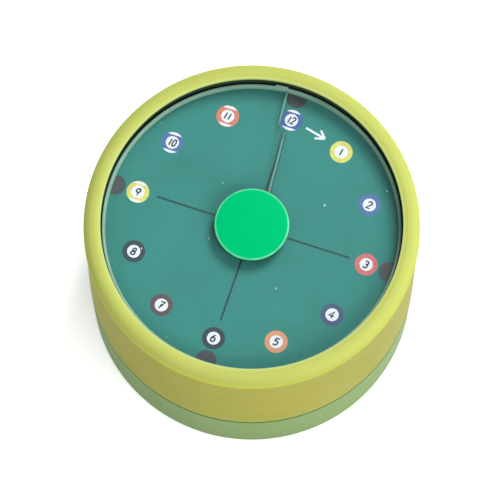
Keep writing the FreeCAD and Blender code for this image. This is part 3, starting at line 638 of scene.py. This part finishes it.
def make_dial_lines():
    """Four thin dark lines from the middle towards 12, 3, 6 and 9."""
    bm = bmesh.new()
    for angle in QUARTERS:
        start = clock_place(LINE_START, angle)
        end = clock_place(LINE_END, angle)
        prism(bm, bar_between(start, end, LINE_WIDTH), CARD_TOP, CARD_TOP + PRINT_STEP)
    bmesh.ops.translate(bm, verts=bm.verts, vec=(*LINE_DRIFT, 0))
    mesh = finish_mesh(bm, "dial_lines", (LINE_INK,))
    add_object("dial_lines", mesh, "case")


def make_dial_arrow():
    """White arrow from the 12 towards the 1: the way the numbers run."""
    bm = bmesh.new()
    tip = clock_place(*ARROW_TIP)
    for level, start in enumerate((ARROW_TAIL, *ARROW_BARBS)):
        low = CARD_TOP + level * PRINT_STEP / 2     # each stroke a little above the last
        prism(bm, bar_between(clock_place(*start), tip, ARROW_STROKE), low, low + PRINT_STEP)
    mesh = finish_mesh(bm, "dial_arrow", (WHITE_INK,))
    add_object("dial_arrow", mesh, "case")


def make_dial_pockets():
    """Dark discs at the edge of the dial beyond the 12, 3, 6 and 9."""
    bm = bmesh.new()
    for angle in QUARTERS:
        outline = circle(POCKET_RADIUS, centre=clock_place(POCKET_RING, angle))
        prism(bm, outline, CARD_TOP, CARD_TOP + PRINT_STEP)
    mesh = finish_mesh(bm, "dial_pockets", (POCKET_INK,))
    add_object("dial_pockets", mesh, "case")


# ------------------------------------------------------------------ pointer disc and knob

HOLE_RADIUS = SPIGOT_RADIUS + 0.02 * MM
BAR_START = KNOB_RADIUS + 0.1 * MM
BAR_END = RIM_FOOT - 0.05 * MM
EDGE_WIDTH = 0.5 * MM
SHADE_WIDTH = 0.35 * MM
TAB_ROUNDING = 0.3 * MM
KNOB_SKIN = 1.0 * MM                # knob above the end of its spigot hole
KNOB_ROUNDING = 0.4 * MM
KNOB_UNDERCUT = 0.4 * MM            # how far the knob's side leans in towards its foot


def along_pointer(outward, sideways):
    """Flat place outward along the index line and sideways to its left."""
    turned = math.radians(90 + INDEX_ANGLE)
    x = outward * math.cos(turned) - sideways * math.sin(turned)
    y = outward * math.sin(turned) + sideways * math.cos(turned)
    return x, y


def pointer_strip(near, far, right, left):
    """Corners of a rectangle along the index line, between two distances to its left."""
    return [along_pointer(near, right), along_pointer(far, right),
            along_pointer(far, left), along_pointer(near, left)]


def make_clear_disc():
    """Clear disc with the raised bar that runs from the knob to the rim."""
    bm = bmesh.new()
    lathe(bm, [
        (HOLE_RADIUS, DISC_LOW),
        (RIM_FOOT, DISC_LOW),
        (RIM_FOOT, DISC_FACE),
        (HOLE_RADIUS, DISC_FACE),
    ])
    bar = pointer_strip(BAR_START, BAR_END, -BAR_WIDTH, 0)
    prism(bm, bar, DISC_FACE + 0.01 * MM, BAR_TOP)
    mesh = finish_mesh(bm, "clear_disc", (clear_plastic,))
    add_object("clear_disc", mesh, "rotor", ["pointer_disc"])


def make_disc_rim():
    """Frosted raised rim with the tab that stands on it."""
    bm = bmesh.new()
    lathe(bm, rounded([
        (RIM_FOOT, DISC_LOW, 0),
        (DISC_RADIUS, DISC_LOW, 0.1 * MM),
        (DISC_RADIUS, RIM_TOP, 0.2 * MM),
        (RIM_INNER, RIM_TOP, 0.15 * MM),
        (RIM_FOOT, DISC_FACE, 0),
    ], steps=4), segments=256)
    top = prism(bm, pointer_strip(RIM_INNER + 0.1 * MM, TAB_REACH, 0, TAB_WIDTH), BAR_TOP, TAB_TOP)
    crest = [edge for edge in bm.edges if all(vert in top for vert in edge.verts)]
    bmesh.ops.bevel(bm, geom=crest, offset=TAB_ROUNDING, segments=4, affect="EDGES", profile=0.5)
    mesh = finish_mesh(bm, "disc_rim", (frosted_rim,))
    add_object("disc_rim", mesh, "rotor")


def make_bar_edges():
    """The bar's edges where they catch the light or lie in shade.

    The lit edge is the index line outside and the bar's other edge inside, with a shaded line by it.
    """
    low = DISC_FACE + 0.02 * MM
    high = BAR_TOP + 0.02 * MM
    half = EDGE_WIDTH / 2
    inner_start = KNOB_RADIUS + 0.2 * MM
    inner_left = -BAR_WIDTH + half
    inner_right = inner_left - EDGE_WIDTH
    lit = bmesh.new()
    prism(lit, pointer_strip(EDGE_CHANGE, RIM_FOOT - 0.1 * MM, -half, half), low, high)
    prism(lit, pointer_strip(inner_start, EDGE_CHANGE, inner_right, inner_left), low, high)
    add_object("bar_edges", finish_mesh(lit, "bar_edges", (lit_edge,)), "rotor")
    dark = bmesh.new()
    shade_right = inner_right - SHADE_WIDTH
    prism(dark, pointer_strip(inner_start, EDGE_CHANGE, shade_right, inner_right), low, high)
    add_object("bar_shade", finish_mesh(dark, "bar_shade", (shaded_edge,)), "rotor")


def make_knob():
    """Low round knob: flat top with a rounded edge, its side leaning in towards the foot."""
    bm = bmesh.new()
    lathe(bm, rounded([
        (0, KNOB_TOP, 0),
        (0, KNOB_TOP - KNOB_SKIN, 0),
        (HOLE_RADIUS, KNOB_TOP - KNOB_SKIN, 0),
        (HOLE_RADIUS, KNOB_LOW, 0),
        (KNOB_RADIUS - KNOB_UNDERCUT, KNOB_LOW, 0.1 * MM),
        (KNOB_RADIUS, KNOB_TOP, KNOB_ROUNDING),
    ]))
    mesh = finish_mesh(bm, "knob", (knob_plastic,))
    add_object("knob", mesh, "rotor", ["knob_cap"])


# ------------------------------------------------------------------ camera, light and floor

DIAL_TURN = 18.4                    # how far the 12 lies clockwise of straight up in the view
ELEVATION = 73.5                    # of the view above the floor, in degrees
LENS = 324.0                        # long lens on a 36 mm sensor, both in the camera's millimetres
SENSOR = 36.0
VIEW_DISTANCE = 1199.68 * MM
AIM_LEFT = 0.4665 * MM              # where the camera looks, from the middle of the opening
AIM_BELOW = 7.358 * MM

LAMP_DISTANCE = 2.5
LAMPS = (
    # name, direction to the right, up the view and up from the floor, width, watts
    ("key_lamp", 0.52, 0.75, 0.85, 1.2, 52.0),
    ("front_lamp", 0.5, -0.8, 0.9, 2.2, 43.0),
)


def make_camera():
    """Long lens from above the front; the view is turned so that the 12 leans to the right."""
    camera_data = bpy.data.cameras.new("view_camera")
    camera_data.sensor_width = SENSOR
    camera_data.lens = LENS
    camera_data.clip_end = 20.0
    camera = bpy.data.objects.new("view_camera", camera_data)
    scene.collection.objects.link(camera)
    turn = math.radians(DIAL_TURN)
    tilt = math.radians(ELEVATION)
    right = Vector((math.cos(turn), math.sin(turn), 0))
    front = Vector((math.sin(turn), -math.cos(turn), 0))
    back = front * math.cos(tilt) + Vector((0, 0, math.sin(tilt)))
    up = back.cross(right)
    aim = Vector((0, 0, LIP_LEVEL)) - right * AIM_LEFT - up * AIM_BELOW
    facing = Matrix((right, up, back)).transposed().to_4x4()
    camera.matrix_world = Matrix.Translation(aim + back * VIEW_DISTANCE) @ facing
    scene.camera = camera
    return right, up


def make_lamp(name, direction, size, power):
    """Round soft lamp that looks at the middle of the case."""
    data = bpy.data.lights.new(name, "AREA")
    data.shape = "DISK"
    data.size = size
    data.energy = power
    lamp = bpy.data.objects.new(name, data)
    scene.collection.objects.link(lamp)
    towards = direction.normalized()
    lamp.location = towards * LAMP_DISTANCE + Vector((0, 0, 30 * MM))
    lamp.rotation_euler = towards.to_track_quat("Z", "Y").to_euler()


def make_floor():
    """Wide sheet of white paper just under the feet."""
    bm = bmesh.new()
    prism(bm, circle(3.0), -20 * MM, -0.02 * MM)
    m = Nodes("floor_paper")
    cloud = m.remap(m.noise(6, detail=3), 0.3, 0.7, 0, 1)
    m.color(m.mix(cloud, (0.93, 0.93, 0.93, 1), (0.96, 0.96, 0.96, 1)))
    m.rough(m.remap(m.noise(300), 0.3, 0.7, 0.75, 0.9))
    m.set(Emission_Color=(1, 1, 1, 1), Emission_Strength=0.46)
    floor = bpy.data.objects.new("floor", finish_mesh(bm, "floor", (m.material,)))
    scene.collection.objects.link(floor)


def make_world():
    """Even white light from all round."""
    world = bpy.data.worlds.new("studio")
    world.use_nodes = True
    background = world.node_tree.nodes["Background"]
    background.inputs["Color"].default_value = (1, 1, 1, 1)
    background.inputs["Strength"].default_value = 0.33
    scene.world = world


# ------------------------------------------------------------------ make everything

scene.view_settings.view_transform = "Standard"
view_right, view_up = make_camera()
make_world()
make_floor()
for lamp_name, rightward, upward, skyward, width, watts in LAMPS:
    aimed = view_right * rightward + view_up * upward + Vector((0, 0, skyward))
    make_lamp(lamp_name, aimed, width, watts)
dress_cad_nodes()
for mark_number in range(1, 13):
    make_mark(mark_number)
make_dial_lines()
make_dial_arrow()
make_dial_pockets()
make_clear_disc()
make_disc_rim()
make_bar_edges()
make_knob()
